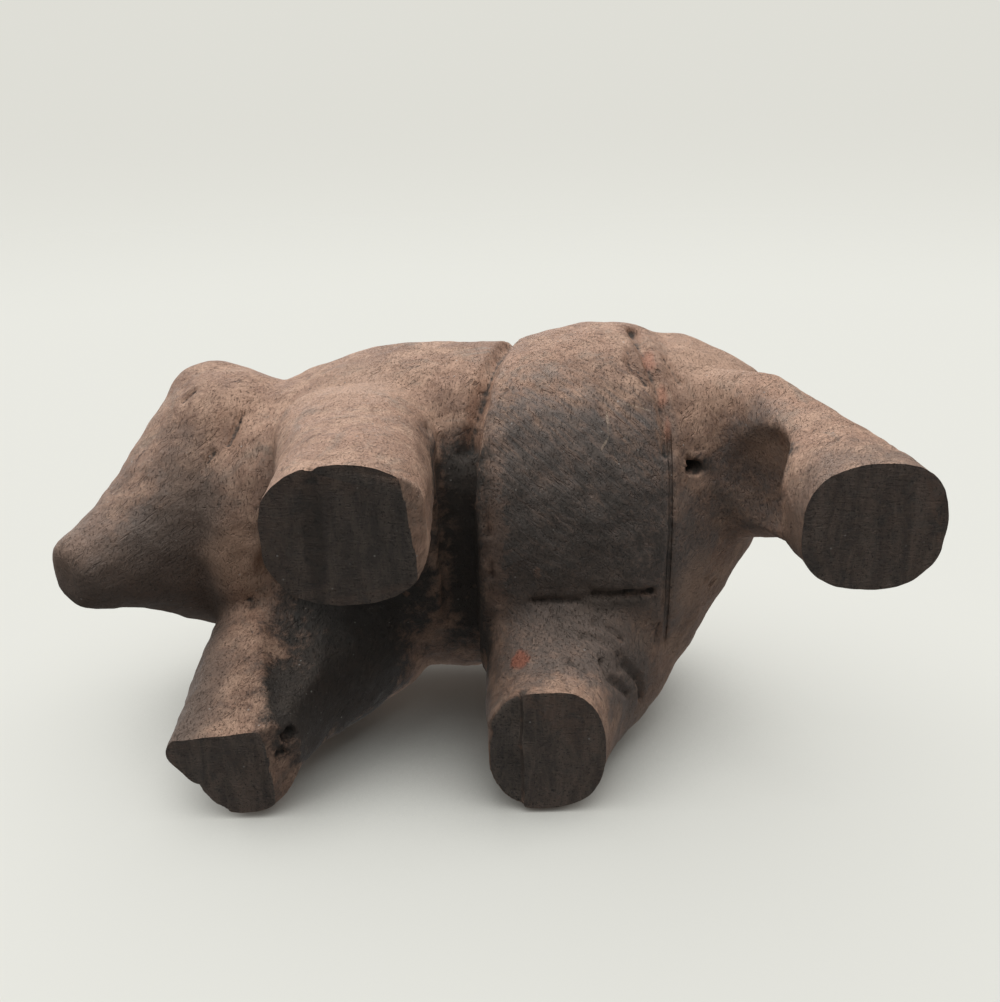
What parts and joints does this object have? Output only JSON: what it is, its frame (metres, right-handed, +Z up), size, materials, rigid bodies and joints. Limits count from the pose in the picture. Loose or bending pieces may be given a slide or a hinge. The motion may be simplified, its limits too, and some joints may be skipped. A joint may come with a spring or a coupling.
{
  "type": "carved bear figurine",
  "caption": "Carved wooden bear standing in mid stride with its head hung low; a free-standing ornament that rests on its flat sawn soles.",
  "frame": {"origin": "on the ground under the middle of the bear's bounding box", "axes": "+Z up, the bear faces -Y, its left side is at +X"},
  "size_m": [0.074, 0.1475, 0.081],
  "materials": {
    "wood": "hand-carved, darkened and rubbed"
  },
  "bodies": {
    "root": {"head": "wood", "forequarters": "wood", "belly": "wood", "hindquarters": "wood", "fore_leg_left": "wood", "fore_leg_right": "wood", "hind_leg_left": "wood", "hind_leg_right": "wood"}
  },
  "joints": []
}
